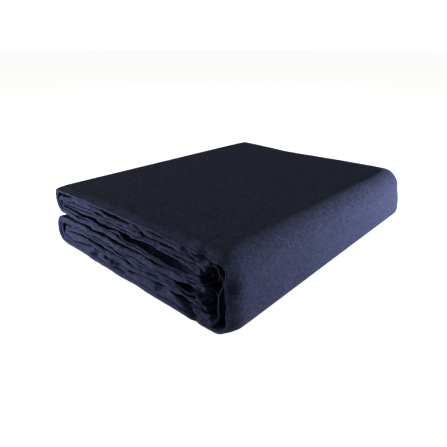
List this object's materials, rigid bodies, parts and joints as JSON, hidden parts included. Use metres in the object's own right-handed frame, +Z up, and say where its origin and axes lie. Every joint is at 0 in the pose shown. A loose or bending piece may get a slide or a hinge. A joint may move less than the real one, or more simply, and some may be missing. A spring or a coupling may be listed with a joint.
{
  "type": "folded comforter",
  "caption": "Thin comforter folded into a flat stack, its cloth running back and forth between a rounded spine and two open ends.",
  "frame": {"origin": "on the surface that the stack lies on, under the middle of its outline", "axes": "+X from the open ends to the spine, +Y along the folds from the loose front edges to the back, +Z up"},
  "size_m": [0.352, 0.42, 0.0927],
  "materials": {
    "cloth": "matt navy weave"
  },
  "bodies": {
    "root": {"comforter": "cloth"}
  },
  "joints": []
}
